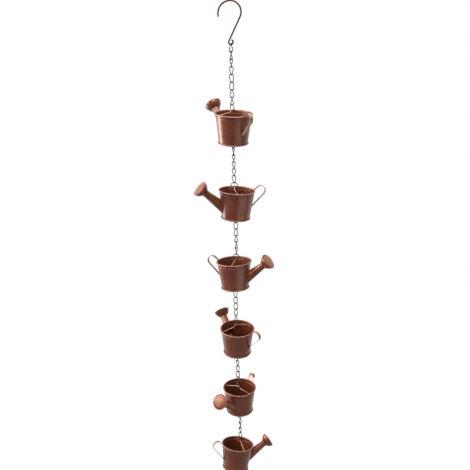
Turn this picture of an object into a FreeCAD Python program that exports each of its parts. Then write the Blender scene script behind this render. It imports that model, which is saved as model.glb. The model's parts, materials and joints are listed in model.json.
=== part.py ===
import FreeCAD, Part
import math
import os

import Sketcher
from FreeCAD import Placement, Rotation, Vector

# A rain chain: a wire hook, runs of twisted links and six sheet-metal watering cans.
# Millimetres. The origin is the point inside the top of the hook that hangs on its support,
# +Z is up, and the chain hangs down along -Z. +X is to the right and -Y is the front.

SIZES = [
    # Hook, bent from one wire
    ("hook_wire", 3.5),
    ("hook_point_radius", 26.5),
    ("hook_shank_radius", 23.0),
    ("hook_height", 89.0),
    ("hook_eye_radius", 4.75),
    ("hook_tip_angle", 12.0),
    ("hook_eye_gap", 0.4),
    # Chain links, each a wire loop whose two ends are twisted against each other
    ("link_wire", 1.9),
    ("link_width", 10.5),
    ("link_pitch", 16.3),
    ("link_twist", 70.0),
    ("link_bend", 4.2),
    ("link_slack", 0.2),
    ("top_run_links", 8),
    ("run_links", 6),
    # Open ring between the last link of a run and a can
    ("ring_wire", 1.9),
    ("ring_radius", 7.45),
    ("ring_opening", 16.0),
    ("ring_opening_turn", -30.0),
    # Can wall and base
    ("can_height", 69.0),
    ("rim_radius", 41.6),
    ("base_radius", 32.9),
    ("sheet", 0.7),
    ("rim_bead", 1.5),
    ("foot_bead", 1.6),
    ("swage_bead", 0.9),
    ("swage_rise", 0.5),
    ("swage_drop", 9.0),
    ("seam_width", 5.0),
    ("seam_rise", 0.5),
    ("seam_turn", 166.0),
    ("base_lift", 2.0),
    ("base_flange", 1.6),
    ("drain_diameter", 16.0),
    # Spout and rose
    ("spout_rise", 38.5),
    ("spout_height", 32.0),
    ("spout_length", 52.5),
    ("spout_root_diameter", 24.0),
    ("spout_tip_diameter", 15.5),
    ("rose_sleeve", 4.0),
    ("rose_length", 15.0),
    ("rose_bowl", 20.0),
    ("rose_diameter", 39.0),
    ("rose_bead", 1.0),
    ("rose_dome", 3.0),
    ("spray_hole", 2.2),
    ("spray_inner_radius", 5.5),
    ("spray_inner_count", 6),
    ("spray_outer_radius", 11.5),
    ("spray_outer_count", 12),
    # Handle, a bent strap
    ("handle_strap", 0.8),
    ("handle_width", 7.5),
    ("handle_reach", 28.5),
    ("handle_top", 9.5),
    ("handle_bend", 12.0),
    ("handle_lower_drop", 47.0),
    # Bail, the cross wire that a can hangs on, and the pin inside its base
    ("bail_wire", 2.0),
    ("bail_offset", 7.0),
    ("bail_hole_drop", 5.0),
    ("bail_hole_play", 0.3),
    ("bail_apex", 6.0),
    ("bail_flat", 5.5),
    ("bail_jog", 5.0),
    ("bail_jog_run", 3.0),
    ("bail_bend", 2.5),
    ("bail_end", 2.5),
    ("pin_wire", 2.0),
    ("pin_length", 28.0),
    # Clearances: between pieces that swing on each other, and between fixed pieces
    ("hang_clearance", 0.3),
    ("seat_gap", 0.1),
]

# How each can hangs, in degrees: the way its spout points, from +X, its tip to one side, and how far
# its handle is set off from the side opposite the spout
HANGS = [
    (125.0, 0.0, 0.0),
    (198.0, 0.0, 0.0),
    (338.5, -3.5, 0.0),
    (119.0, 0.0, 25.0),
    (238.0, 0.0, 0.0),
    (20.0, -8.5, 0.0),
]
CAN_COUNT = len(HANGS)
for can, (turn, tip, handle_turn) in enumerate(HANGS, start=1):
    SIZES.append((f"can_{can}_turn", turn))
    SIZES.append((f"can_{can}_tip", tip))
    SIZES.append((f"can_{can}_handle_turn", handle_turn))

doc = FreeCAD.newDocument("rain_chain")
sheet = doc.addObject("Spreadsheet::Sheet", "Sizes")
for row, (name, value) in enumerate(SIZES, start=1):
    sheet.set(f"A{row}", name)
    sheet.set(f"B{row}", str(value))
    sheet.setAlias(f"B{row}", name)
doc.recompute()


def size(name):
    return float(getattr(sheet, name))


def number(expression):
    """The value of an expression in the sheet's names."""
    return float(sheet.evalExpression(expression))


# Expressions that several pieces share

def wall_radius(height):
    """Outer radius of the can's wall at a height above its foot."""
    return f"(Sizes.base_radius + (Sizes.rim_radius - Sizes.base_radius) * ({height}) / Sizes.can_height)"


def spout_radius(along):
    """Outer radius of the spout at a distance along its axis from the wall."""
    return (
        "(Sizes.spout_root_diameter + (Sizes.spout_tip_diameter - Sizes.spout_root_diameter)"
        f" * ({along}) / Sizes.spout_length) / 2"
    )


BEAD_HEIGHT = "(Sizes.can_height - Sizes.rim_bead)"
RIM_CENTRE = f"({wall_radius(BEAD_HEIGHT)} - Sizes.sheet + Sizes.rim_bead)"
SPOUT_TUCK = "(Sizes.spout_root_diameter * 0.7)"
SLEEVE_RADIUS = f"({spout_radius('Sizes.spout_length - Sizes.rose_sleeve')} + Sizes.seat_gap)"
ROSE_FACE = "(Sizes.rose_sleeve + Sizes.rose_length)"
PLATE_RADIUS = "(Sizes.rose_diameter / 2 - 2 * Sizes.rose_bead - Sizes.seat_gap)"
PLATE_CURVE = f"(({PLATE_RADIUS} ^ 2 + Sizes.rose_dome ^ 2) / (2 * Sizes.rose_dome))"


# Sketch and feature helpers

def new_sketch(body, name, role):
    sketch = body.newObject("Sketcher::SketchObject", name)
    plane = next(feature for feature in body.Origin.OriginFeatures if feature.Role == role)
    sketch.AttachmentSupport = (plane, [""])
    sketch.MapMode = "FlatFace"
    return sketch


def fix_point(sketch, geometry, point, across, up):
    for kind, expression in (("DistanceX", across), ("DistanceY", up)):
        constraint = Sketcher.Constraint(kind, -1, 1, geometry, point, number(expression))
        index = sketch.addConstraint(constraint)
        sketch.setExpression(f"Constraints[{index}]", expression)


def fix_radius(sketch, geometry, radius):
    index = sketch.addConstraint(Sketcher.Constraint("Radius", geometry, number(radius)))
    sketch.setExpression(f"Constraints[{index}]", radius)


def round_arc(begin, finish, radius):
    """The shorter arc between two points of a sketch that turns left on its way."""
    half = (finish - begin) / 2
    aside = Vector(-half.y, half.x, 0).normalize()
    centre = begin + half + aside * math.sqrt(radius ** 2 - half.Length ** 2)
    start, end = [math.atan2(point.y - centre.y, point.x - centre.x) for point in (begin, finish)]
    return Part.ArcOfCircle(Part.Circle(centre, Vector(0, 0, 1), radius), start, end)


def draw_outline(sketch, corners, left_bends={}, right_bends={}):
    """A closed outline; each corner is a pair of expressions.

    Its edges are straight, apart from the arcs that turn left or right on their way. Their radii are
    given by the numbers of the corners that they start from.
    """
    points = [Vector(number(across), number(up), 0) for across, up in corners]
    count = len(points)
    first = sketch.GeometryCount
    ends = []
    for index in range(count):
        begin = points[index]
        finish = points[(index + 1) % count]
        if index in left_bends:
            sketch.addGeometry(round_arc(begin, finish, number(left_bends[index])))
        elif index in right_bends:
            sketch.addGeometry(round_arc(finish, begin, number(right_bends[index])))
        else:
            sketch.addGeometry(Part.LineSegment(begin, finish))
        ends.append((2, 1) if index in right_bends else (1, 2))
    for index in range(count):
        following = (index + 1) % count
        joined = Sketcher.Constraint(
            "Coincident", first + index, ends[index][1], first + following, ends[following][0]
        )
        sketch.addConstraint(joined)
    for index, (across, up) in enumerate(corners):
        fix_point(sketch, first + index, ends[index][0], across, up)
    for index, radius in (*left_bends.items(), *right_bends.items()):
        fix_radius(sketch, first + index, radius)


def draw_circle(sketch, across, up, radius):
    centre = Vector(number(across), number(up), 0)
    geometry = sketch.addGeometry(Part.Circle(centre, Vector(0, 0, 1), number(radius)))
    fix_point(sketch, geometry, 3, across, up)
    fix_radius(sketch, geometry, radius)


def sketch_arc(sketch, circle, start):
    """The arc of a circle from an angle up to its top."""
    return sketch.addGeometry(Part.ArcOfCircle(circle, start, math.pi / 2))


def revolve(body, sketch, name):
    feature = body.newObject("PartDesign::Revolution", name)
    feature.Profile = sketch
    feature.ReferenceAxis = (sketch, ["V_Axis"])
    feature.Angle = 360
    return feature


def cut_through(body, sketch, name):
    """A pocket through the whole body, both ways from its sketch."""
    doc.recompute()
    before = body.Shape.Volume
    pocket = body.newObject("PartDesign::Pocket", name)
    pocket.Profile = sketch
    pocket.Type = "ThroughAll"
    pocket.Midplane = True
    doc.recompute()
    if body.Shape.Volume >= before:
        raise RuntimeError(f"{name} removed nothing")
    return pocket


def cut_shape(name, base, tool):
    feature = doc.addObject("Part::Cut", name)
    feature.Base = base
    feature.Tool = tool
    return feature


# Bent wire helpers

def rounded_path(points, bends):
    """Straight runs through the points, joined by tangent arcs at the inner points."""
    edges = []
    start = points[0]
    for before, corner, after, bend in zip(points, points[1:], points[2:], bends):
        arriving = (corner - before).normalize()
        leaving = (after - corner).normalize()
        turn = arriving.getAngle(leaving)
        reach = bend * math.tan(turn / 2)
        middle_way = (leaving - arriving).normalize()
        first = corner - arriving * reach
        last = corner + leaving * reach
        middle = corner + middle_way * (bend / math.cos(turn / 2) - bend)
        edges.append(Part.makeLine(start, first))
        edges.append(Part.Arc(first, middle, last).toShape())
        start = last
    edges.append(Part.makeLine(start, points[-1]))
    return Part.Wire(edges)


def bent_wire(name, path, diameter):
    """A round wire of the given diameter along a path."""
    spine = doc.addObject("Part::Feature", f"{name}_path")
    spine.Shape = path
    first_edge = path.OrderedEdges[0]
    section = doc.addObject("Part::Circle", f"{name}_section")
    section.setExpression("Radius", f"({diameter}) / 2")
    heading = first_edge.tangentAt(first_edge.FirstParameter)
    section.Placement = Placement(path.OrderedVertexes[0].Point, Rotation(Vector(0, 0, 1), heading))
    wire = doc.addObject("Part::Sweep", name)
    wire.Sections = [section]
    wire.Spine = (spine, [])
    wire.Solid = True
    wire.Frenet = False
    return wire


def point_at(centre, radius, degrees):
    """A point of a circle in the XZ plane."""
    angle = math.radians(degrees)
    return centre + Vector(radius * math.cos(angle), 0, radius * math.sin(angle))


def arc_in_xz(centre, radius, start, end):
    middle = point_at(centre, radius, (start + end) / 2)
    return Part.Arc(point_at(centre, radius, start), middle, point_at(centre, radius, end)).toShape()


# Hook

crown = Vector(0, 0, size("hook_wire") / 2)
eye_bottom = crown - Vector(0, 0, size("hook_height"))
eye_centre = eye_bottom + Vector(0, 0, size("hook_eye_radius"))


def make_hook():
    """Point, crown, straight shank and eye; the shank crosses from the right to the eye's left."""
    point = size("hook_point_radius")
    bend = size("hook_shank_radius")
    eye = size("hook_eye_radius")
    point_centre = crown - Vector(0, 0, point)
    bend_centre = crown - Vector(0, 0, bend)
    slant = math.degrees(math.asin((bend + eye) / (bend_centre - eye_centre).Length))
    closing = 1 - (size("hook_wire") + size("hook_eye_gap")) / eye
    eye_end = math.degrees(math.acos(-closing)) - slant
    path = Part.Wire(
        [
            arc_in_xz(point_centre, point, 180 + size("hook_tip_angle"), 90),
            arc_in_xz(bend_centre, bend, 90, -slant),
            Part.makeLine(point_at(bend_centre, bend, -slant), point_at(eye_centre, eye, 180 - slant)),
            arc_in_xz(eye_centre, eye, 180 - slant, 360 + eye_end),
        ]
    )
    return bent_wire("hook", path, "Sizes.hook_wire")


# Chain

LINK_HALF_LENGTH = (size("link_pitch") + size("link_wire") + size("link_slack")) / 2


def make_link():
    """One twisted link, centred on its own origin, with its two ends turned half the twist each way.

    The upper half runs from the middle of one side, over the top, to the middle of the other side.
    The lower half is the same piece turned over about X.
    """
    half_width = size("link_width") / 2
    turn = math.radians(size("link_twist") / 2)
    side = half_width * math.cos(turn)
    depth = half_width * math.sin(turn)
    path = rounded_path(
        [
            Vector(-side, 0, 0),
            Vector(-side, -depth, LINK_HALF_LENGTH),
            Vector(side, depth, LINK_HALF_LENGTH),
            Vector(side, 0, 0),
        ],
        [size("link_bend"), size("link_bend")],
    )
    start = path.OrderedVertexes[0].Point
    first_edge = path.OrderedEdges[0]
    heading = first_edge.tangentAt(first_edge.FirstParameter)
    section = Part.Wire(Part.makeCircle(size("link_wire") / 2, start, heading))
    upper = path.makePipeShell([section], True, False)
    lower = upper.copy()
    lower.rotate(Vector(0, 0, 0), Vector(1, 0, 0), 180)
    return upper.fuse(lower).removeSplitter()


link_shape = make_link()


def run_turns(count, first_edge_way, last_edge_way):
    """The turn of each link in a run.

    The first link's top lies along first_edge_way and the last link's bottom along last_edge_way.
    The turn between is shared out evenly, by whole half turns as near as can be to links that
    cross each other at right angles.
    """
    half_twist = size("link_twist") / 2
    first = first_edge_way - half_twist
    last = last_edge_way + half_twist
    square = (90 - size("link_twist")) * (count - 1)
    total = square + (last - first - square + 90) % 180 - 90
    return [first + total * index / (count - 1) for index in range(count)]


def make_run(name, count, support, support_radius, support_way, bail_way):
    """A run of separate links that hangs on a wire at the support point."""
    top = support_radius + size("hang_clearance") + size("link_wire") / 2
    links = []
    for index, turn in enumerate(run_turns(count, support_way + 90, bail_way)):
        link = link_shape.copy()
        centre = Vector(0, 0, top - LINK_HALF_LENGTH - index * size("link_pitch"))
        link.Placement = Placement(centre, Rotation(Vector(0, 0, 1), turn))
        links.append(link)
    run = doc.addObject("Part::Feature", name)
    run.Shape = Part.Compound(links)
    run.Placement = Placement(support, Rotation())
    return run, top - 2 * LINK_HALF_LENGTH - (count - 1) * size("link_pitch")


def make_ring(name, top_of_ring, can_turn):
    """An open ring that stands in the plane of the spout, with its opening low on one side."""
    ring = doc.addObject("Part::Torus", name)
    ring.setExpression("Radius1", "Sizes.ring_radius")
    ring.setExpression("Radius2", "Sizes.ring_wire / 2")
    ring.setExpression("Angle3", "360 - Sizes.ring_opening")
    upright = Rotation(Vector(0, 0, 1), can_turn) * Rotation(Vector(1, 0, 0), 90)
    opening = Rotation(Vector(0, 0, 1), size("ring_opening_turn"))
    centre = top_of_ring - Vector(0, 0, size("ring_radius"))
    ring.Placement = Placement(centre, upright * opening)
    return ring


# Can pieces, each in the can's own frame: foot on z = 0, spout towards +X, bail along Y

def make_wall_sheet():
    """Tapered wall with a rolled rim and foot, a swage line, a lock seam and the bail's holes."""
    body = doc.addObject("PartDesign::Body", "wall_sheet")
    taper = new_sketch(body, "wall_taper", "XZ_Plane")
    draw_outline(
        taper,
        [
            (wall_radius("Sizes.foot_bead"), "Sizes.foot_bead"),
            (wall_radius(BEAD_HEIGHT), BEAD_HEIGHT),
            (f"{wall_radius(BEAD_HEIGHT)} - Sizes.sheet", BEAD_HEIGHT),
            (f"{wall_radius('Sizes.foot_bead')} - Sizes.sheet", "Sizes.foot_bead"),
        ],
    )
    revolve(body, taper, "wall_cone")
    beads = new_sketch(body, "wall_beads", "XZ_Plane")
    draw_circle(beads, RIM_CENTRE, BEAD_HEIGHT, "Sizes.rim_bead")
    foot_centre = f"{wall_radius('Sizes.foot_bead')} - Sizes.sheet + Sizes.foot_bead"
    draw_circle(beads, foot_centre, "Sizes.foot_bead", "Sizes.foot_bead")
    swage_height = "(Sizes.can_height - Sizes.swage_drop)"
    swage_centre = f"{wall_radius(swage_height)} + Sizes.swage_rise - Sizes.swage_bead"
    draw_circle(beads, swage_centre, swage_height, "Sizes.swage_bead")
    revolve(body, beads, "rolled_edges")
    seam = new_sketch(body, "seam_strip", "XZ_Plane")
    seam.AttachmentOffset = Placement(Vector(), Rotation(Vector(0, 1, 0), size("seam_turn")))
    seam_low = "(2 * Sizes.foot_bead + Sizes.seam_rise)"
    seam_high = f"({swage_height} - 2 * Sizes.swage_bead)"
    draw_outline(
        seam,
        [
            (f"{wall_radius(seam_low)} - Sizes.sheet / 2", seam_low),
            (f"{wall_radius(seam_low)} + Sizes.seam_rise", seam_low),
            (f"{wall_radius(seam_high)} + Sizes.seam_rise", seam_high),
            (f"{wall_radius(seam_high)} - Sizes.sheet / 2", seam_high),
        ],
    )
    strip = body.newObject("PartDesign::Pad", "lock_seam")
    strip.Profile = seam
    strip.Midplane = True
    strip.setExpression("Length", "Sizes.seam_width")
    holes = new_sketch(body, "bail_holes", "XZ_Plane")
    hole_height = "Sizes.can_height - Sizes.bail_hole_drop"
    draw_circle(holes, "Sizes.bail_offset", hole_height, "Sizes.bail_wire / 2 + Sizes.bail_hole_play")
    cut_through(body, holes, "bail_hole_pair")
    return body


def spout_frame(along):
    """The frame whose +Z runs out along the spout, at a distance along it from the wall."""
    slant = Rotation(Vector(0, 1, 0), 90 - size("spout_rise"))
    root = Vector(number(wall_radius("Sizes.spout_height")), 0, size("spout_height"))
    return Placement(root + slant.multVec(Vector(0, 0, along)), slant)


def make_wall():
    """The wall with the opening that leads into the spout."""
    bore = doc.addObject("Part::Cone", "spout_bore")
    bore.setExpression("Radius1", f"{spout_radius('-' + SPOUT_TUCK)} - Sizes.sheet")
    bore.setExpression("Radius2", f"{spout_radius(SPOUT_TUCK)} - Sizes.sheet")
    bore.setExpression("Height", f"2 * {SPOUT_TUCK}")
    bore.Placement = spout_frame(-number(SPOUT_TUCK))
    return cut_shape("wall", make_wall_sheet(), bore)


def make_wall_envelope():
    """The space inside the wall's outer face, which the spout and handle are trimmed to."""
    envelope = doc.addObject("Part::Cone", "wall_envelope")
    envelope.setExpression("Radius1", f"{wall_radius('0')} + Sizes.seat_gap")
    envelope.setExpression("Radius2", f"{wall_radius('Sizes.can_height')} + Sizes.seat_gap")
    envelope.setExpression("Height", "Sizes.can_height")
    return envelope


def make_rim_envelope():
    """The space that the rolled rim takes, which the handle's upper end is trimmed to."""
    envelope = doc.addObject("Part::Torus", "rim_envelope")
    envelope.setExpression("Radius1", RIM_CENTRE)
    envelope.setExpression("Radius2", "Sizes.rim_bead + Sizes.seat_gap")
    envelope.setExpression("Placement.Base.z", BEAD_HEIGHT)
    return envelope


def make_base():
    """Disc with a turned-down flange inside the wall, and a drain hole for the chain."""
    body = doc.addObject("PartDesign::Body", "base")
    section = new_sketch(body, "base_section", "XZ_Plane")
    top = "(Sizes.base_lift + Sizes.sheet)"
    flange_foot = "(Sizes.base_lift - Sizes.base_flange)"
    inside = "- Sizes.sheet - Sizes.seat_gap"
    draw_outline(
        section,
        [
            ("Sizes.drain_diameter / 2", "Sizes.base_lift"),
            (f"{wall_radius(flange_foot)} {inside} - Sizes.sheet", "Sizes.base_lift"),
            (f"{wall_radius(flange_foot)} {inside} - Sizes.sheet", flange_foot),
            (f"{wall_radius(flange_foot)} {inside}", flange_foot),
            (f"{wall_radius(top)} {inside}", top),
            ("Sizes.drain_diameter / 2", top),
        ],
    )
    revolve(body, section, "base_disc")
    return body


def make_spout(envelope):
    """Tapered tube, trimmed to the wall at its root."""
    body = doc.addObject("PartDesign::Body", "spout_tube")
    section = new_sketch(body, "spout_section", "XZ_Plane")
    root = f"-{SPOUT_TUCK}"
    tip = "Sizes.spout_length"
    draw_outline(
        section,
        [
            (spout_radius(root), root),
            (spout_radius(tip), tip),
            (f"{spout_radius(tip)} - Sizes.sheet", tip),
            (f"{spout_radius(root)} - Sizes.sheet", root),
        ],
    )
    revolve(body, section, "spout_cone")
    body.Placement = spout_frame(0)
    return cut_shape("spout", body, envelope)


def make_rose():
    """Sleeve and bowl with a rolled edge."""
    body = doc.addObject("PartDesign::Body", "rose")
    section = new_sketch(body, "rose_section", "XZ_Plane")
    mouth = "(Sizes.rose_diameter / 2 - Sizes.rose_bead)"
    draw_outline(
        section,
        [
            (SLEEVE_RADIUS, "0"),
            (f"{SLEEVE_RADIUS} + Sizes.sheet", "0"),
            (f"{SLEEVE_RADIUS} + Sizes.sheet", "Sizes.rose_sleeve"),
            (f"{mouth} + Sizes.sheet / 2", ROSE_FACE),
            (f"{mouth} - Sizes.sheet / 2", ROSE_FACE),
            (SLEEVE_RADIUS, "Sizes.rose_sleeve + Sizes.sheet"),
        ],
        left_bends={2: "Sizes.rose_bowl"},
        right_bends={4: "Sizes.rose_bowl - Sizes.sheet"},
    )
    revolve(body, section, "rose_sleeve_and_bowl")
    edge = new_sketch(body, "rose_edge", "XZ_Plane")
    draw_circle(edge, mouth, ROSE_FACE, "Sizes.rose_bead")
    revolve(body, edge, "rose_rolled_edge")
    body.Placement = spout_frame(size("spout_length") - size("rose_sleeve"))
    return body


def make_rose_plate():
    """Domed disc inside the rose's rolled edge, with rings of spray holes."""
    body = doc.addObject("PartDesign::Body", "rose_plate")
    section = new_sketch(body, "plate_section", "XZ_Plane")
    low = "(-Sizes.sheet / 2)"
    high = "(Sizes.sheet / 2)"
    radius = number(PLATE_CURVE)
    edge = number(PLATE_RADIUS)
    opening = math.acos(edge / radius)
    outer_face = Vector(0, number(f"{high} + Sizes.rose_dome - {PLATE_CURVE}"), 0)
    inner_face = Vector(0, number(f"{low} + Sizes.rose_dome - {PLATE_CURVE}"), 0)
    normal = Vector(0, 0, 1)
    outer = sketch_arc(section, Part.Circle(outer_face, normal, radius), opening)
    inner = sketch_arc(section, Part.Circle(inner_face, normal, radius), opening)
    rim = section.addGeometry(
        Part.LineSegment(Vector(edge, number(low), 0), Vector(edge, number(high), 0))
    )
    axis = section.addGeometry(
        Part.LineSegment(
            Vector(0, number(f"{low} + Sizes.rose_dome"), 0),
            Vector(0, number(f"{high} + Sizes.rose_dome"), 0),
        )
    )
    section.addConstraint(Sketcher.Constraint("Coincident", inner, 1, rim, 1))
    section.addConstraint(Sketcher.Constraint("Coincident", outer, 1, rim, 2))
    section.addConstraint(Sketcher.Constraint("Coincident", inner, 2, axis, 1))
    section.addConstraint(Sketcher.Constraint("Coincident", outer, 2, axis, 2))
    fix_point(section, rim, 1, PLATE_RADIUS, low)
    fix_point(section, rim, 2, PLATE_RADIUS, high)
    fix_point(section, axis, 1, "0", f"{low} + Sizes.rose_dome")
    fix_point(section, axis, 2, "0", f"{high} + Sizes.rose_dome")
    fix_radius(section, outer, PLATE_CURVE)
    fix_radius(section, inner, PLATE_CURVE)
    revolve(body, section, "plate_dome")
    centre = new_sketch(body, "spray_centre", "XY_Plane")
    draw_circle(centre, "0", "0", "Sizes.spray_hole / 2")
    cut_through(body, centre, "spray_centre_hole")
    for ring in ("inner", "outer"):
        seed = new_sketch(body, f"spray_{ring}", "XY_Plane")
        draw_circle(seed, f"Sizes.spray_{ring}_radius", "0", "Sizes.spray_hole / 2")
        hole = cut_through(body, seed, f"spray_{ring}_hole")
        pattern = body.newObject("PartDesign::PolarPattern", f"spray_{ring}_ring")
        pattern.Originals = [hole]
        pattern.Axis = (seed, ["N_Axis"])
        pattern.Angle = 360
        pattern.setExpression("Occurrences", f"Sizes.spray_{ring}_count")
        body.Tip = pattern
    face = size("spout_length") - size("rose_sleeve") + number(ROSE_FACE)
    body.Placement = spout_frame(face)
    return body


def tangent_point(outside, centre, radius, side):
    """Where a line from an outside point touches a circle in the XZ plane."""
    way = outside - centre
    facing = math.degrees(math.atan2(way.z, way.x))
    spread = math.degrees(math.acos(radius / way.Length))
    return point_at(centre, radius, facing + side * spread)


def make_handle(wall_space, rim_space):
    """Strap from the rim, up and round a bend, and straight down to the wall."""
    bend = size("handle_bend")
    height = size("can_height")
    outermost = number(wall_radius("Sizes.can_height")) + size("handle_reach")
    centre = Vector(bend - outermost, 0, height + size("handle_top") - bend)
    lower_height = height - size("handle_lower_drop")
    inside = 4 * size("handle_strap")
    upper = Vector(-number(RIM_CENTRE), 0, number(BEAD_HEIGHT))
    lower = Vector(inside - number(wall_radius(str(lower_height))), 0, lower_height)
    first = tangent_point(upper, centre, bend, 1)
    last = tangent_point(lower, centre, bend, -1)
    way_in = math.degrees(math.atan2(first.z - centre.z, first.x - centre.x))
    way_out = math.degrees(math.atan2(last.z - centre.z, last.x - centre.x)) % 360
    path = Part.Wire(
        [Part.makeLine(upper, first), arc_in_xz(centre, bend, way_in, way_out), Part.makeLine(last, lower)]
    )
    spine = doc.addObject("Part::Feature", "handle_path")
    spine.Shape = path
    section = doc.addObject("Part::Plane", "handle_section")
    section.setExpression("Length", "Sizes.handle_strap")
    section.setExpression("Width", "Sizes.handle_width")
    heading = Rotation(Vector(0, 0, 1), first - upper)
    corner = Vector(-size("handle_strap") / 2, -size("handle_width") / 2, 0)
    section.Placement = Placement(upper + heading.multVec(corner), heading)
    strap = doc.addObject("Part::Sweep", "handle_strap_sweep")
    strap.Sections = [section]
    strap.Spine = (spine, [])
    strap.Solid = True
    strap.Frenet = False
    return cut_shape("handle", cut_shape("handle_below_rim", strap, rim_space), wall_space)


def make_bail():
    """Cross wire through the wall's holes, with a flat crown for the ring and a step beside it."""
    offset = size("bail_offset")
    hole_height = size("can_height") - size("bail_hole_drop")
    apex_height = size("can_height") + size("bail_apex")
    wall = number(wall_radius(str(hole_height)))
    chord = math.sqrt(wall ** 2 - offset ** 2)
    end = chord + size("bail_end")
    rising = chord - size("bail_end")
    half_flat = size("bail_flat") / 2
    step = half_flat + size("bail_jog_run")
    path = rounded_path(
        [
            Vector(offset, -end, hole_height),
            Vector(offset, -rising, hole_height),
            Vector(offset, -half_flat, apex_height),
            Vector(offset, half_flat, apex_height),
            Vector(offset, step, apex_height - size("bail_jog")),
            Vector(offset, rising, hole_height),
            Vector(offset, end, hole_height),
        ],
        [size("bail_bend")] * 5,
    )
    return bent_wire("bail", path, "Sizes.bail_wire")


def make_pin():
    """Straight wire that lies on the base across the drain hole and carries the next run."""
    pin = doc.addObject("Part::Cylinder", "base_pin")
    pin.setExpression("Radius", "Sizes.pin_wire / 2")
    pin.setExpression("Height", "Sizes.pin_length")
    lying = Rotation(Vector(1, 0, 0), -90)
    pin.Placement = Placement(pin_centre - Vector(0, size("pin_length") / 2, 0), lying)
    return pin


pin_height = size("base_lift") + size("sheet") + size("seat_gap") + size("pin_wire") / 2
pin_centre = Vector(0, 0, pin_height)
bail_apex = Vector(size("bail_offset"), 0, size("can_height") + size("bail_apex"))

wall_envelope = make_wall_envelope()
can_pieces = {
    "wall": make_wall(),
    "base": make_base(),
    "spout": make_spout(wall_envelope),
    "rose": make_rose(),
    "rose_plate": make_rose_plate(),
    "handle": make_handle(wall_envelope, make_rim_envelope()),
    "bail": make_bail(),
    "base_pin": make_pin(),
}
hook = make_hook()
doc.recompute()


def pieces_of(can):
    """A can's pieces; nothing hangs below the last can, so that one has no pin."""
    return {name: piece for name, piece in can_pieces.items() if can < CAN_COUNT or name != "base_pin"}


def piece_place(can, piece):
    """Where a piece sits in its can's frame."""
    turn = size(f"can_{can}_handle_turn") if piece == "handle" else 0
    return Placement(Vector(), Rotation(Vector(0, 0, 1), turn))


def hanging_leans():
    """How far each can hangs spout up, so that it balances on its bail with what hangs below it."""
    ring_volume = math.pi ** 2 / 2 * size("ring_radius") * size("ring_wire") ** 2
    ring_volume *= 1 - size("ring_opening") / 360
    run_volume = link_shape.Volume * size("run_links") + ring_volume
    leans = {}
    below = 0.0
    for can in range(CAN_COUNT, 0, -1):
        moment = (pin_centre - bail_apex) * below
        below += run_volume
        for name, piece in pieces_of(can).items():
            shape = Part.getShape(piece)
            centre = piece_place(can, name).multVec(shape.CenterOfGravity)
            moment += (centre - bail_apex) * shape.Volume
            below += shape.Volume
        leans[can] = math.degrees(math.atan(moment.x / moment.z))
    return leans


# Hang the runs, rings and cans below each other

nodes = {"hook": hook}
leans = hanging_leans()
support = eye_bottom
support_radius = size("hook_wire") / 2
support_way = 0.0
for can in range(1, CAN_COUNT + 1):
    turn = size(f"can_{can}_turn")
    links = int(size("top_run_links" if can == 1 else "run_links"))
    bail_way = turn + 90
    run_name = f"chain_{can}"
    run, last_bottom = make_run(run_name, links, support, support_radius, support_way, bail_way)
    nodes[run_name] = run
    hooked = (size("link_wire") + size("ring_wire")) / 2 + size("link_slack")
    ring_top = support + Vector(0, 0, last_bottom + hooked)
    nodes[f"ring_{can}"] = make_ring(f"ring_{can}", ring_top, turn)
    seated = (size("ring_wire") + size("bail_wire")) / 2 + size("hang_clearance")
    apex = ring_top + Vector(0, 0, seated - 2 * size("ring_radius"))
    heading = Rotation(Vector(0, 0, 1), turn)
    tip = Rotation(Vector(1, 0, 0), size(f"can_{can}_tip"))
    lean = Rotation(Vector(0, 1, 0), -leans[can])
    frame = Placement(apex, heading * tip * lean) * Placement(-bail_apex, Rotation())
    for piece, master in pieces_of(can).items():
        name = f"can_{can}_{piece}"
        copy = doc.addObject("App::Link", name)
        copy.LinkedObject = master
        copy.LinkTransform = True
        copy.Placement = frame * piece_place(can, piece)
        nodes[name] = copy
    support = frame.multVec(pin_centre)
    support_radius = size("pin_wire") / 2
    support_way = bail_way

doc.recompute()

for feature in doc.Objects:
    if "Invalid" in feature.State or "Error" in feature.State:
        raise RuntimeError(f"{feature.Name} failed: {feature.State}")

shapes = {}
for name, node in nodes.items():
    node.Label = name
    shape = Part.getShape(node)
    if shape.isNull() or not shape.isValid():
        raise RuntimeError(f"{name} has no valid shape")
    shapes[name] = shape

os.makedirs("parts", exist_ok=True)
for name, shape in shapes.items():
    shape.exportStep(f"parts/{name}.step")
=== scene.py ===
import json
import math

import bmesh
import bpy
from mathutils import Matrix, Vector


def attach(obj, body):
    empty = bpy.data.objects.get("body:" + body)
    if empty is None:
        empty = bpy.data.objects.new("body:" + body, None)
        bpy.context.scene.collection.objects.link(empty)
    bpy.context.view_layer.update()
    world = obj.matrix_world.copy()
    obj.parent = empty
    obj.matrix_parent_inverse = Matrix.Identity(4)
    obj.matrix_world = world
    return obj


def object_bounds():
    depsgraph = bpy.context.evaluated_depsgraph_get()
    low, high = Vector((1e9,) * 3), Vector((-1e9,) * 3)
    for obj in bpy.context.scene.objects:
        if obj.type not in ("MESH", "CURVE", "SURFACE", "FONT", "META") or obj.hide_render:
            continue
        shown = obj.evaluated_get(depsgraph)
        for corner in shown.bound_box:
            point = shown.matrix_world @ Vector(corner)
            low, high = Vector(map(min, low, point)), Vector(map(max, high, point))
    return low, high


# A rain chain of watering cans: the looks. Metres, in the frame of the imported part:
# origin inside the top of the hook, +Z up, the photograph's camera on the -Y side.

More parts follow.
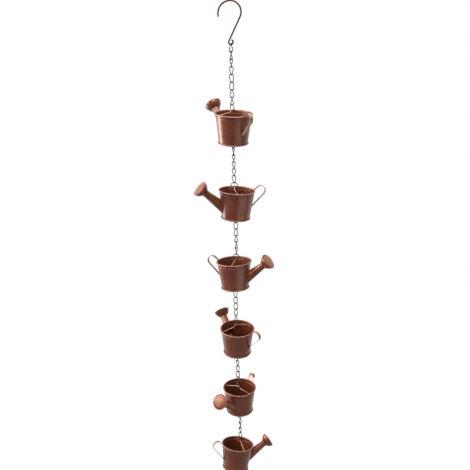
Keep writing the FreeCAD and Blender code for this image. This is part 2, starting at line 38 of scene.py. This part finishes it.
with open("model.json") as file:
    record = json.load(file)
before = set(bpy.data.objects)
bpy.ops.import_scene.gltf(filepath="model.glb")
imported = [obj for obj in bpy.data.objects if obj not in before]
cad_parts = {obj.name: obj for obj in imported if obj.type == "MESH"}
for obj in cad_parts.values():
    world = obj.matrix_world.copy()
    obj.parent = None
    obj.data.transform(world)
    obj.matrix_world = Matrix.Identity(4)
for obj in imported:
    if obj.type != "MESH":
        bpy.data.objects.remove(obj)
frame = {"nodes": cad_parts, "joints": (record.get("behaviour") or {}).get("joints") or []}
cad_low, cad_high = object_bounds()

CANS = range(1, 7)
MM = 0.001

# Colours, as linear values
PAINT_DEEP = (0.130, 0.031, 0.013)
PAINT_MID = (0.170, 0.043, 0.018)
# Pale tone: worn edges, faint streaks and bails, and the painted highlight on the wall's rim and foot
PALE_COPPER = (0.480, 0.290, 0.230)
COPPER_DEEP = (0.220, 0.068, 0.038)
COPPER_BRIGHT = (0.330, 0.125, 0.078)
WIRE_DARK = (0.022, 0.009, 0.006)
WIRE_MID = (0.064, 0.025, 0.017)
WIRE_RUBBED = (0.150, 0.068, 0.046)
HOOK_BROWN = (0.070, 0.023, 0.015)
# Painted highlight: the rose plate's paint, a little lighter than the body's, for its lit face
PLATE_LIT = (0.176, 0.050, 0.021)
# Painted highlight: the spray lips' colours, far paler than the paint, for the light that they catch
LIP_LIT_DEEP = (0.340, 0.165, 0.080)
LIP_LIT_PALE = (0.460, 0.250, 0.140)
# Painted reflection: the handle's colours, far paler than the paint, for the white that its edges mirror
STRAP_LIT_DEEP = (0.270, 0.135, 0.098)
STRAP_LIT_PALE = (0.370, 0.225, 0.175)
FLOOR_PALE = (0.22, 0.22, 0.22)
FLOOR_WHITE = (0.28, 0.28, 0.28)
WHITE = (1.0, 1.0, 1.0)

# Gloss and grain that all the metals share
SPECULAR = 0.25
COAT_ROUGHNESS = 0.26
PEEL_SHARE = 0.008
BUMP_STRENGTH = 0.5
WEAR_SAMPLES = 8
ROUNDING_SAMPLES = 16
SHEEN_LEVELS = (0.3, 0.7)

# Paint: its noises, with scales per metre, and the levels between which each one sets in
CLOUDS = {"scale": 34.0, "detail": 3.0}
CLOUD_LEVELS = (0.35, 0.68)
STREAKS = {"scale": 300.0, "detail": 2.0}
STREAK_STRETCH = (1.0, 1.0, 0.05)
STREAK_LEVELS = (0.56, 0.8)
STREAK_STRENGTH = 0.10
PATCHES = {"scale": 120.0, "detail": 2.0}
PATCH_LEVELS = (0.32, 0.66)
PATCH_LEAST = 0.70
HANDLING = {"scale": 60.0, "detail": 4.0, "roughness": 0.7}
HANDLING_STRETCH = (1.0, 1.0, 4.0)
SHEEN_RANGE = 0.1
PAINT_PEEL = {"scale": 900.0, "detail": 2.0}
PAINT_WAVES = {"scale": 36.0, "detail": 1.0}
PAINT_DEPTH = 0.2 * MM
EDGE_RADIUS = 0.28 * MM
EDGE_LEVELS = (0.03, 0.35)
# Painted highlight on the wall's rim and foot rolls: its strength, and the share of a roll where it is full
ROLL_HIGHLIGHT = 0.34
ROLL_FULL = 0.6
STRAP_ROUNDING = 0.3 * MM
NOISE_SHIFT = 0.37

# Wire: the same
WIRE_CLOUDS = {"scale": 120.0, "detail": 3.0}
WIRE_CLOUD_LEVELS = (0.35, 0.65)
WIRE_RUBS = {"scale": 420.0, "detail": 2.0}
WIRE_RUB_LEVELS = (0.58, 0.74)
WIRE_RUB_STRENGTH = 0.6
WIRE_HANDLING = {"scale": 500.0, "detail": 3.0}
WIRE_SHEEN_RANGE = 0.14
WIRE_PEEL = {"scale": 2200.0, "detail": 2.0}
WIRE_WAVES = {"scale": 240.0, "detail": 1.0}
WIRE_DEPTH = 0.05 * MM
WIRE_METALLIC = 0.7
WIRE_COAT = 0.05

# Finishes of the cans' pieces; what one doesn't say, paint_material does
FINISHES = {
    "paint": {"deep": PAINT_DEEP, "mid": PAINT_MID, "paling": 0.8},
    # The wall: edge wear, and a painted highlight on its rim and foot rolls
    "body": {"deep": PAINT_DEEP, "mid": PAINT_MID, "paling": 0.8, "highlight_rolls": True},
    # The rose plate: the paint one tone lighter, a painted highlight for its face turned up to the light
    "lit_copper": {"deep": PAINT_MID, "mid": PLATE_LIT, "paling": 0.5},
    # The spray lips: a painted highlight, in colours far paler than the paint
    "lips": {
        "deep": LIP_LIT_DEEP,
        "mid": LIP_LIT_PALE,
        "paling": 0.5,
        "metallic": 0.25,
        "sheen": 0.40,
        "coat": 0.0,
    },
    # The handle: the paint made paler, a painted reflection of the white studio, with glossier metal
    "lit_strap": {
        "deep": STRAP_LIT_DEEP,
        "mid": STRAP_LIT_PALE,
        "paling": 0.8,
        "metallic": 0.6,
        "coat": 0.1,
        "rounding": STRAP_ROUNDING,
    },
}
PIECE_FINISHES = {
    "wall": "body",
    "base": "paint",
    "spout": "paint",
    "rose": "paint",
    "handle": "lit_strap",
    "rose_plate": "lit_copper",
}

# Wires: the dark, middle and worn colours, and the least roughness
WIRES = {
    "dark_wire": (WIRE_DARK, WIRE_MID, WIRE_RUBBED, 0.38),
    "hook_wire": (WIRE_DARK, HOOK_BROWN, COPPER_DEEP, 0.34),
    "ring_wire": (HOOK_BROWN, COPPER_DEEP, COPPER_BRIGHT, 0.30),
    "copper_wire": (COPPER_BRIGHT, PALE_COPPER, PALE_COPPER, 0.26),
}

# The can's sizes that its painted rim and foot highlight, its solder and its spray lips follow
CAN_HEIGHT = 69.0 * MM
RIM_RADIUS = 41.6 * MM
BASE_RADIUS = 32.9 * MM
RIM_DEPTH = 3.0 * MM
FOOT_DEPTH = 3.2 * MM
SPOUT_HEIGHT = 32.0 * MM
SPOUT_RISE = 38.5
SPOUT_ROOT = 12.0 * MM
SPOUT_TAPER = 0.081
PLATE_DISTANCE = 67.5 * MM
PLATE_CROWN = 3.35 * MM
PLATE_CURVE = 51.96 * MM
SPRAY_HOLE = 1.1 * MM
SPRAY_RINGS = ((0.0, 1), (5.5 * MM, 6), (11.5 * MM, 12))
HANDLE_FOOT = 22.0 * MM
HANDLE_TOP = (-43.6 * MM, 0.0, 68.9 * MM)
HANDLE_TURNS = {4: 25.0}
LEVEL_FACE = 0.9

# Solder and lips
SOLDER_RADIUS = 0.75 * MM
SOLDER_SIDES = 10
JOINT_STEPS = 72
JOINT_REACH = (-30.0 * MM, 40.0 * MM)
JOINT_HALVINGS = 30
FOOT_MOUND = (0.9 * MM, 4.1 * MM, 1.5 * MM)
FOOT_MOUND_OUT = 0.3 * MM
TOP_MOUND = (1.0 * MM, 4.1 * MM, 0.9 * MM)
MOUND_SEGMENTS = 20
MOUND_RINGS = 12
LIP_LINE = SPRAY_HOLE + 0.25 * MM
LIP_RADIUS = 0.52 * MM
LIP_STEPS = 18
LIP_SIDES = 8

# How a tube swells along its line: share of its radius, swells in the whole line, phase
SWELLS = ((0.14, 3.0, 1.0), (0.10, 7.0, 0.0))

# Camera: fitted to the photograph, with the image's centre on the optical axis
CAMERA_PLACE = (0.0499, -1.3431, -0.0559)
CAMERA_TILT = 19.262
CAMERA_YAW = -2.106
CAMERA_ROLL = -1.170
CAMERA_LENS = 45.13
CAMERA_CLIP = 0.01
SENSOR = 36.0

# Floor: its place, its shade, its glow to the camera, and its glow to metal by depth
FLOOR_DROP = 0.60
FLOOR_REACH = 6.0
FLOOR_SHADE = {"scale": 1.5, "detail": 2.0}
FLOOR_LEVELS = (0.2, 0.8)
FLOOR_GLOW = 0.98
FLOOR_SHADOW = 0.1
FLOOR_DEPTHS = (-0.4, 1.0)
FLOOR_MIRRORED = (0.02, 0.8)

# World: its soft light by height, and what metal mirrors from behind and from above
SOFT_SLOPE = 0.64
SOFT_LEVEL = 0.37
BEHIND_WAYS = (-0.30, 0.65)
BEHIND_LEVELS = (0.12, 0.95)
ABOVE_WAYS = (0.25, 0.9)
ABOVE_LEVELS = (0.0, 0.55)

# Lamps: powers in watts
LAMPS = {
    "strip_left": {
        "place": (-1.2, 0.43, -0.66),
        "target": (0.0, 0.0, -0.3),
        "width": 0.55,
        "height": 0.6,
        "power": 9.5,
    },
    "fill_right": {
        "place": (1.1, -1.1, -1.40),
        "target": (0.0, 0.0, -0.55),
        "width": 1.7,
        "height": 0.7,
        "power": 4.6,
    },
    "top_left": {
        "place": (-1.5, -0.25, 0.25),
        "target": (0.0, 0.0, -0.7),
        "width": 1.4,
        "height": 1.4,
        "power": 46.0,
    },
    "top": {
        "place": (0.15, -0.35, 1.0),
        "target": (0.0, 0.0, -0.5),
        "width": 1.2,
        "height": 1.2,
        "power": 40.0,
    },
}


# Node helpers

class Tree:
    """A short way to add and join the nodes of a material or a world."""

    def __init__(self, owner):
        owner.use_nodes = True
        self.nodes = owner.node_tree.nodes
        self.links = owner.node_tree.links
        self.nodes.clear()

    def add(self, kind, settings=None, **inputs):
        node = self.nodes.new(kind)
        for name, value in (settings or {}).items():
            setattr(node, name, value)
        for name, value in inputs.items():
            self.put(node.inputs[name.replace("_", " ")], value)
        return node

    def put(self, socket, value):
        if isinstance(value, bpy.types.NodeSocket):
            self.links.new(value, socket)
        elif isinstance(value, (tuple, list)) and len(value) == 3 and socket.type == "RGBA":
            socket.default_value = (*value, 1.0)
        else:
            socket.default_value = value

    def math(self, operation, first, second=0.0, clamp=False):
        node = self.nodes.new("ShaderNodeMath")
        node.operation = operation
        node.use_clamp = clamp
        self.put(node.inputs[0], first)
        self.put(node.inputs[1], second)
        return node.outputs[0]

    def span(self, value, low, high, to_low=0.0, to_high=1.0):
        """A smooth step of a value between two levels."""
        node = self.nodes.new("ShaderNodeMapRange")
        node.interpolation_type = "SMOOTHSTEP"
        self.put(node.inputs["Value"], value)
        self.put(node.inputs["From Min"], low)
        self.put(node.inputs["From Max"], high)
        self.put(node.inputs["To Min"], to_low)
        self.put(node.inputs["To Max"], to_high)
        return node.outputs["Result"]

    def mix(self, factor, first, second):
        """A blend of two colours."""
        node = self.nodes.new("ShaderNodeMix")
        node.data_type = "RGBA"
        self.put(node.inputs["Factor"], factor)
        self.put(node.inputs["A"], first)
        self.put(node.inputs["B"], second)
        return node.outputs["Result"]

    def choose(self, factor, first, second):
        """A blend of two values."""
        node = self.add("ShaderNodeMix", {"data_type": "FLOAT"})
        self.put(node.inputs["Factor"], factor)
        self.put(node.inputs["A"], first)
        self.put(node.inputs["B"], second)
        return node.outputs["Result"]

    def noise(self, place, scale, detail=2.0, roughness=0.5):
        node = self.add("ShaderNodeTexNoise", Vector=place, Scale=scale, Detail=detail, Roughness=roughness)
        return node.outputs["Fac"]

    def stretched(self, place, scale):
        """Coordinates that are scaled by a different amount along each axis."""
        return self.add("ShaderNodeMapping", Vector=place, Scale=scale).outputs["Vector"]

    def edges(self, radius):
        """How sharply the surface bends within a radius: 0 on a flat, up to 1 on an edge."""
        bevel = self.add("ShaderNodeBevel", {"samples": WEAR_SAMPLES}, Radius=radius)
        plain = self.add("ShaderNodeNewGeometry")
        dot = self.nodes.new("ShaderNodeVectorMath")
        dot.operation = "DOT_PRODUCT"
        self.put(dot.inputs[0], bevel.outputs["Normal"])
        self.put(dot.inputs[1], plain.outputs["Normal"])
        return self.math("SUBTRACT", 1.0, dot.outputs["Value"], clamp=True)

    def white_rays(self, ray):
        """1 for the rays that see the background as plain white: the camera's, and those through glass."""
        return self.math("ADD", ray.outputs["Is Camera Ray"], ray.outputs["Is Transmission Ray"], clamp=True)


# Materials

def start_material(name):
    material = bpy.data.materials.new(name)
    return material, Tree(material)


def close_material(tree, colour, roughness, normal, metallic, coat):
    """The shader that ends each metal: its gloss is set here, its colour and grain come in."""
    shader = tree.add("ShaderNodeBsdfPrincipled", Base_Color=colour, Roughness=roughness, Normal=normal)
    shader.inputs["Metallic"].default_value = metallic
    shader.inputs["Specular IOR Level"].default_value = SPECULAR
    shader.inputs["Coat Weight"].default_value = coat
    shader.inputs["Coat Roughness"].default_value = COAT_ROUGHNESS
    output = tree.add("ShaderNodeOutputMaterial")
    tree.put(output.inputs["Surface"], shader.outputs["BSDF"])


def grain(tree, place, peel, waves, depth, rounding=0.0):
    """Orange peel and shallow waves as one bump, over edges that are rounded if a radius is given."""
    fine = tree.math("MULTIPLY", tree.noise(place, **peel), PEEL_SHARE)
    height = tree.math("ADD", fine, tree.noise(place, **waves))
    bump = tree.add("ShaderNodeBump", Height=height, Strength=BUMP_STRENGTH, Distance=depth)
    if rounding:
        rounded = tree.add("ShaderNodeBevel", {"samples": ROUNDING_SAMPLES}, Radius=rounding)
        tree.put(bump.inputs["Normal"], rounded.outputs["Normal"])
    return bump.outputs["Normal"]


def local_place(tree, empty, shift):
    """Coordinates in the frame of a can, which move with it, and a shifted copy for the noises."""
    place = tree.add("ShaderNodeTexCoord", {"object": empty}).outputs["Object"]
    shifted = tree.add("ShaderNodeMapping", Vector=place, Location=(shift, -shift, 0.0))
    return place, shifted.outputs["Vector"]


def roll_highlight(tree, place):
    """A painted highlight on a wall's rim roll and foot roll, by height."""
    height = tree.add("ShaderNodeSeparateXYZ", Vector=place).outputs["Z"]
    rim_start = CAN_HEIGHT - RIM_DEPTH
    rim_full = CAN_HEIGHT - ROLL_FULL * RIM_DEPTH
    rim = tree.span(height, rim_start, rim_full, 0.0, ROLL_HIGHLIGHT)
    foot = tree.span(height, FOOT_DEPTH, ROLL_FULL * FOOT_DEPTH, 0.0, ROLL_HIGHLIGHT)
    return tree.math("MAXIMUM", rim, foot)


def paint_material(
    name, empty, shift, deep, mid, paling, metallic=0.38, sheen=0.30, coat=0.5, highlight_rolls=False, rounding=0.0
):
    """Copper-brown paint on sheet metal: cloudy, faintly streaked, worn bright on edges; rolls get a painted
    highlight.
    """
    material, tree = start_material(name)
    place, noisy = local_place(tree, empty, shift)
    clouds = tree.span(tree.noise(noisy, **CLOUDS), *CLOUD_LEVELS)
    colour = tree.mix(clouds, deep, mid)
    streaks = tree.noise(tree.stretched(noisy, STREAK_STRETCH), **STREAKS)
    colour = tree.mix(tree.span(streaks, *STREAK_LEVELS, 0.0, STREAK_STRENGTH), colour, PALE_COPPER)
    patches = tree.span(tree.noise(noisy, **PATCHES), *PATCH_LEVELS, PATCH_LEAST, 1.0)
    wear_and_highlight = tree.span(tree.edges(EDGE_RADIUS), *EDGE_LEVELS)
    # Painted highlight: the wall's rim and foot rolls are lightened by height, along with the edge wear
    if highlight_rolls:
        wear_and_highlight = tree.math("MAXIMUM", roll_highlight(tree, place), wear_and_highlight)
    pale_mix = tree.math("MULTIPLY", tree.math("MULTIPLY", wear_and_highlight, patches), paling)
    colour = tree.mix(pale_mix, colour, PALE_COPPER)
    handling = tree.noise(tree.stretched(noisy, HANDLING_STRETCH), **HANDLING)
    roughness = tree.span(handling, *SHEEN_LEVELS, sheen, sheen + SHEEN_RANGE)
    normal = grain(tree, noisy, PAINT_PEEL, PAINT_WAVES, PAINT_DEPTH, rounding)
    close_material(tree, colour, roughness, normal, metallic, coat)
    return material


def wire_material(name, dark, mid, worn, sheen):
    """Lacquered wire: cloudy, and worn paler in spots."""
    material, tree = start_material(name)
    place = tree.add("ShaderNodeTexCoord").outputs["Object"]
    clouds = tree.span(tree.noise(place, **WIRE_CLOUDS), *WIRE_CLOUD_LEVELS)
    colour = tree.mix(clouds, dark, mid)
    rubs = tree.span(tree.noise(place, **WIRE_RUBS), *WIRE_RUB_LEVELS, 0.0, WIRE_RUB_STRENGTH)
    colour = tree.mix(rubs, colour, worn)
    handling = tree.noise(place, **WIRE_HANDLING)
    roughness = tree.span(handling, *SHEEN_LEVELS, sheen, sheen + WIRE_SHEEN_RANGE)
    normal = grain(tree, place, WIRE_PEEL, WIRE_WAVES, WIRE_DEPTH)
    close_material(tree, colour, roughness, normal, WIRE_METALLIC, WIRE_COAT)
    return material


def floor_material():
    """Pale floor: white to the camera, with a little of the object's shadow, and to metal the whiter
    the farther behind it lies."""
    material, tree = start_material("floor_white")
    place = tree.add("ShaderNodeTexCoord").outputs["Object"]
    shade = tree.span(tree.noise(place, **FLOOR_SHADE), *FLOOR_LEVELS)
    plain = tree.add("ShaderNodeBsdfDiffuse", Color=tree.mix(shade, FLOOR_PALE, FLOOR_WHITE))
    bright = tree.add("ShaderNodeEmission", Color=WHITE, Strength=FLOOR_GLOW)
    ray = tree.add("ShaderNodeLightPath")
    depth = tree.add("ShaderNodeSeparateXYZ", Vector=place).outputs["Y"]
    share = tree.span(depth, *FLOOR_DEPTHS, *FLOOR_MIRRORED)
    mirrored = tree.math("MULTIPLY", ray.outputs["Is Glossy Ray"], share)
    seen = tree.math("ADD", tree.white_rays(ray), mirrored, clamp=True)
    both = tree.add("ShaderNodeAddShader")
    faint = tree.add("ShaderNodeMixShader", Fac=1.0 - FLOOR_SHADOW)
    tree.put(faint.inputs[1], plain.outputs["BSDF"])
    tree.put(both.inputs[0], bright.outputs["Emission"])
    tree.put(both.inputs[1], faint.outputs["Shader"])
    blend = tree.add("ShaderNodeMixShader", Fac=seen)
    tree.put(blend.inputs[1], plain.outputs["BSDF"])
    tree.put(blend.inputs[2], both.outputs["Shader"])
    output = tree.add("ShaderNodeOutputMaterial")
    tree.put(output.inputs["Surface"], blend.outputs["Shader"])
    # The floor isn't sampled as a lamp, so that highlights come out with less noise
    material.cycles.emission_sampling = "NONE"
    return material


# Frames of the cans

JOINTS = {joint["name"]: joint for joint in frame["joints"]}


def can_matrix(can):
    """A can's own frame: the middle of its foot, +X towards the spout and +Z up its axis."""
    up, centre, area = Vector(), Vector(), 0.0
    for face in frame["nodes"][f"can_{can}_base"].data.polygons:
        if face.normal.z > LEVEL_FACE:
            up += face.normal * face.area
            centre += face.center * face.area
            area += face.area
    up.normalize()
    centre /= area
    bail = Vector(JOINTS[f"can_{can}_tilt"]["axis"])
    spout = bail.cross(up).normalized()
    wall = frame["nodes"][f"can_{can}_wall"].data
    foot = min(up.dot(vertex.co - centre) for vertex in wall.vertices)
    matrix = Matrix((spout, up.cross(spout), up)).transposed().to_4x4()
    matrix.translation = centre + up * foot
    return matrix


def can_empty(can, matrix):
    """An empty in the can's frame, which its materials take their coordinates from."""
    empty = bpy.data.objects.new(f"can_{can}_frame", None)
    bpy.context.scene.collection.objects.link(empty)
    empty.matrix_world = matrix
    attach(empty, f"can_{can}")
    return empty


# Solder and spray holes, in a can's own frame

def wall_radius(height):
    return BASE_RADIUS + (RIM_RADIUS - BASE_RADIUS) * height / CAN_HEIGHT


SPOUT_WAY = Vector((math.cos(math.radians(SPOUT_RISE)), 0.0, math.sin(math.radians(SPOUT_RISE))))
SPOUT_UP = Vector((-SPOUT_WAY.z, 0.0, SPOUT_WAY.x))
SPOUT_SIDE = Vector((0.0, 1.0, 0.0))
SPOUT_START = Vector((wall_radius(SPOUT_HEIGHT), 0.0, SPOUT_HEIGHT))


def turns(count):
    """The angles of a number of even steps round a circle."""
    return [math.tau * step / count for step in range(count)]


def spout_point(along, turn):
    """A point on the spout's outside."""
    radius = SPOUT_ROOT - SPOUT_TAPER * along
    across = SPOUT_UP * math.cos(turn) + SPOUT_SIDE * math.sin(turn)
    return SPOUT_START + SPOUT_WAY * along + across * radius


def joint_line():
    """The closed line along which the spout meets the wall."""
    points = []
    for turn in turns(JOINT_STEPS):
        inside, outside = JOINT_REACH
        for _ in range(JOINT_HALVINGS):
            middle = (inside + outside) / 2
            point = spout_point(middle, turn)
            if math.hypot(point.x, point.y) < wall_radius(point.z):
                inside = middle
            else:
                outside = middle
        points.append(spout_point(outside, turn))
    return points


def add_tube(mesh, points, radius, sides):
    """A closed tube round a closed line; its radius varies a little along it."""
    count = len(points)
    centre = sum(points, Vector()) / count
    rings = []
    for index, turn in enumerate(turns(count)):
        point = points[index]
        ahead = (points[(index + 1) % count] - points[index - 1]).normalized()
        out = point - centre
        out = (out - ahead * out.dot(ahead)).normalized()
        side = ahead.cross(out)
        swell = sum(share * math.sin(number * turn + phase) for share, number, phase in SWELLS)
        size = radius * (1.0 + swell)
        ways = [out * math.cos(angle) + side * math.sin(angle) for angle in turns(sides)]
        rings.append([mesh.verts.new(point + way * size) for way in ways])
    for index, ring in enumerate(rings):
        following = rings[(index + 1) % count]
        for step in range(sides):
            after = (step + 1) % sides
            mesh.faces.new((ring[step], ring[after], following[after], following[step]))


def add_mound(mesh, place, radii, turn):
    """A rounded mound of solder, turned about the can's axis."""
    scale = Matrix.Diagonal((*radii, 1.0))
    spin = Matrix.Rotation(turn, 4, "Z")
    bmesh.ops.create_uvsphere(
        mesh,
        u_segments=MOUND_SEGMENTS,
        v_segments=MOUND_RINGS,
        radius=1.0,
        matrix=spin @ Matrix.Translation(place) @ scale,
    )


def add_piece(name, mesh, matrix, material, can):
    """A finished mesh as a piece that moves with its can."""
    bmesh.ops.recalc_face_normals(mesh, faces=mesh.faces)
    for face in mesh.faces:
        face.smooth = True
    data = bpy.data.meshes.new(name)
    mesh.transform(matrix)
    mesh.to_mesh(data)
    mesh.free()
    data.materials.append(material)
    piece = bpy.data.objects.new(name, data)
    bpy.context.scene.collection.objects.link(piece)
    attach(piece, f"can_{can}")


def add_solder(can, matrix, material):
    """The fillet round the spout's root and the mounds at the handle's two ends."""
    mesh = bmesh.new()
    add_tube(mesh, joint_line(), SOLDER_RADIUS, SOLDER_SIDES)
    turn = math.radians(HANDLE_TURNS.get(can, 0.0))
    foot = (-wall_radius(HANDLE_FOOT) - FOOT_MOUND_OUT, 0.0, HANDLE_FOOT)
    add_mound(mesh, foot, FOOT_MOUND, turn)
    add_mound(mesh, HANDLE_TOP, TOP_MOUND, turn)
    add_piece(f"can_{can}_solder", mesh, matrix, material, can)


def add_spray_lips(can, matrix, material):
    """The lips that the punch raised round the rose's spray holes."""
    mesh = bmesh.new()
    crown = SPOUT_START + SPOUT_WAY * (PLATE_DISTANCE + PLATE_CROWN)
    centre = crown - SPOUT_WAY * PLATE_CURVE
    for radius, count in SPRAY_RINGS:
        rise = math.sqrt(PLATE_CURVE ** 2 - radius ** 2)
        for turn in turns(count):
            out = -SPOUT_UP * math.cos(turn) + SPOUT_SIDE * math.sin(turn)
            normal = (SPOUT_WAY * rise + out * radius).normalized()
            across = SPOUT_SIDE.cross(normal).normalized()
            along = normal.cross(across)
            middle = centre + normal * PLATE_CURVE
            ways = [across * math.cos(angle) + along * math.sin(angle) for angle in turns(LIP_STEPS)]
            add_tube(mesh, [middle + way * LIP_LINE for way in ways], LIP_RADIUS, LIP_SIDES)
    add_piece(f"can_{can}_spray_lips", mesh, matrix, material, can)


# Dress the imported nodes

def dress(name, material):
    obj = frame["nodes"][name]
    obj.data.materials.clear()
    obj.data.materials.append(material)


def dress_can(can, wires):
    """A can, and the ring, run of links and pin that go with it."""
    matrix = can_matrix(can)
    empty = can_empty(can, matrix)
    shift = NOISE_SHIFT * can
    finishes = {
        finish: paint_material(f"can_{can}_{finish}", empty, shift, **values)
        for finish, values in FINISHES.items()
    }
    for piece, finish in PIECE_FINISHES.items():
        dress(f"can_{can}_{piece}", finishes[finish])
    dress(f"can_{can}_bail", wires["copper_wire"])
    dress(f"ring_{can}", wires["ring_wire"])
    dress(f"chain_{can}", wires["dark_wire"])
    if can < CANS[-1]:
        dress(f"can_{can}_base_pin", wires["dark_wire"])
    add_solder(can, matrix, finishes["paint"])
    add_spray_lips(can, matrix, finishes["lips"])


# Studio

def area_light(name, place, target, width, height, power):
    data = bpy.data.lights.new(name, "AREA")
    data.shape = "RECTANGLE"
    data.size = width
    data.size_y = height
    data.energy = power
    lamp = bpy.data.objects.new(name, data)
    bpy.context.scene.collection.objects.link(lamp)
    lamp.location = place
    lamp.rotation_euler = (Vector(target) - Vector(place)).to_track_quat("-Z", "Y").to_euler()


def make_world():
    """White where the camera sees it; metal mirrors a studio that is white behind and dim in front."""
    world = bpy.data.worlds.new("studio")
    bpy.context.scene.world = world
    tree = Tree(world)
    way = tree.add("ShaderNodeTexCoord").outputs["Generated"]
    parts = tree.add("ShaderNodeSeparateXYZ", Vector=way)
    behind = tree.span(parts.outputs["Y"], *BEHIND_WAYS, *BEHIND_LEVELS)
    above = tree.span(parts.outputs["Z"], *ABOVE_WAYS, *ABOVE_LEVELS)
    mirrored = tree.math("ADD", behind, above)
    soft = tree.math("ADD", tree.math("MULTIPLY", parts.outputs["Z"], SOFT_SLOPE), SOFT_LEVEL)
    ray = tree.add("ShaderNodeLightPath")
    unseen = tree.choose(ray.outputs["Is Glossy Ray"], soft, mirrored)
    strength = tree.choose(tree.white_rays(ray), unseen, 1.0)
    background = tree.add("ShaderNodeBackground", Color=WHITE, Strength=strength)
    output = tree.add("ShaderNodeOutputWorld")
    tree.put(output.inputs["Surface"], background.outputs["Background"])


def make_floor():
    below = cad_low.z - FLOOR_DROP
    mesh = bpy.data.meshes.new("floor")
    corners = [
        (-FLOOR_REACH, -FLOOR_REACH, below),
        (FLOOR_REACH, -FLOOR_REACH, below),
        (FLOOR_REACH, FLOOR_REACH, below),
        (-FLOOR_REACH, FLOOR_REACH, below),
    ]
    mesh.from_pydata(corners, [], [(0, 1, 2, 3)])
    mesh.materials.append(floor_material())
    floor = bpy.data.objects.new("floor", mesh)
    bpy.context.scene.collection.objects.link(floor)


def make_camera():
    data = bpy.data.cameras.new("photo_camera")
    data.sensor_width = SENSOR
    data.lens = CAMERA_LENS
    data.clip_start = CAMERA_CLIP
    camera = bpy.data.objects.new("photo_camera", data)
    bpy.context.scene.collection.objects.link(camera)
    tilt, yaw, roll = (math.radians(angle) for angle in (CAMERA_TILT, CAMERA_YAW, CAMERA_ROLL))
    ahead = Vector((math.sin(yaw) * math.cos(tilt), math.cos(yaw) * math.cos(tilt), -math.sin(tilt)))
    level = Vector((math.cos(yaw), -math.sin(yaw), 0.0))
    upright = level.cross(ahead)
    right = level * math.cos(roll) + upright * math.sin(roll)
    up = upright * math.cos(roll) - level * math.sin(roll)
    turned = Matrix((right, up, -ahead)).transposed().to_4x4()
    camera.matrix_world = Matrix.Translation(CAMERA_PLACE) @ turned
    bpy.context.scene.camera = camera


wires = {name: wire_material(name, *values) for name, values in WIRES.items()}
dress("hook", wires["hook_wire"])
for can in CANS:
    dress_can(can, wires)
make_world()
make_floor()
make_camera()
for name, lamp in LAMPS.items():
    area_light(name, **lamp)
bpy.context.scene.view_settings.view_transform = "Standard"
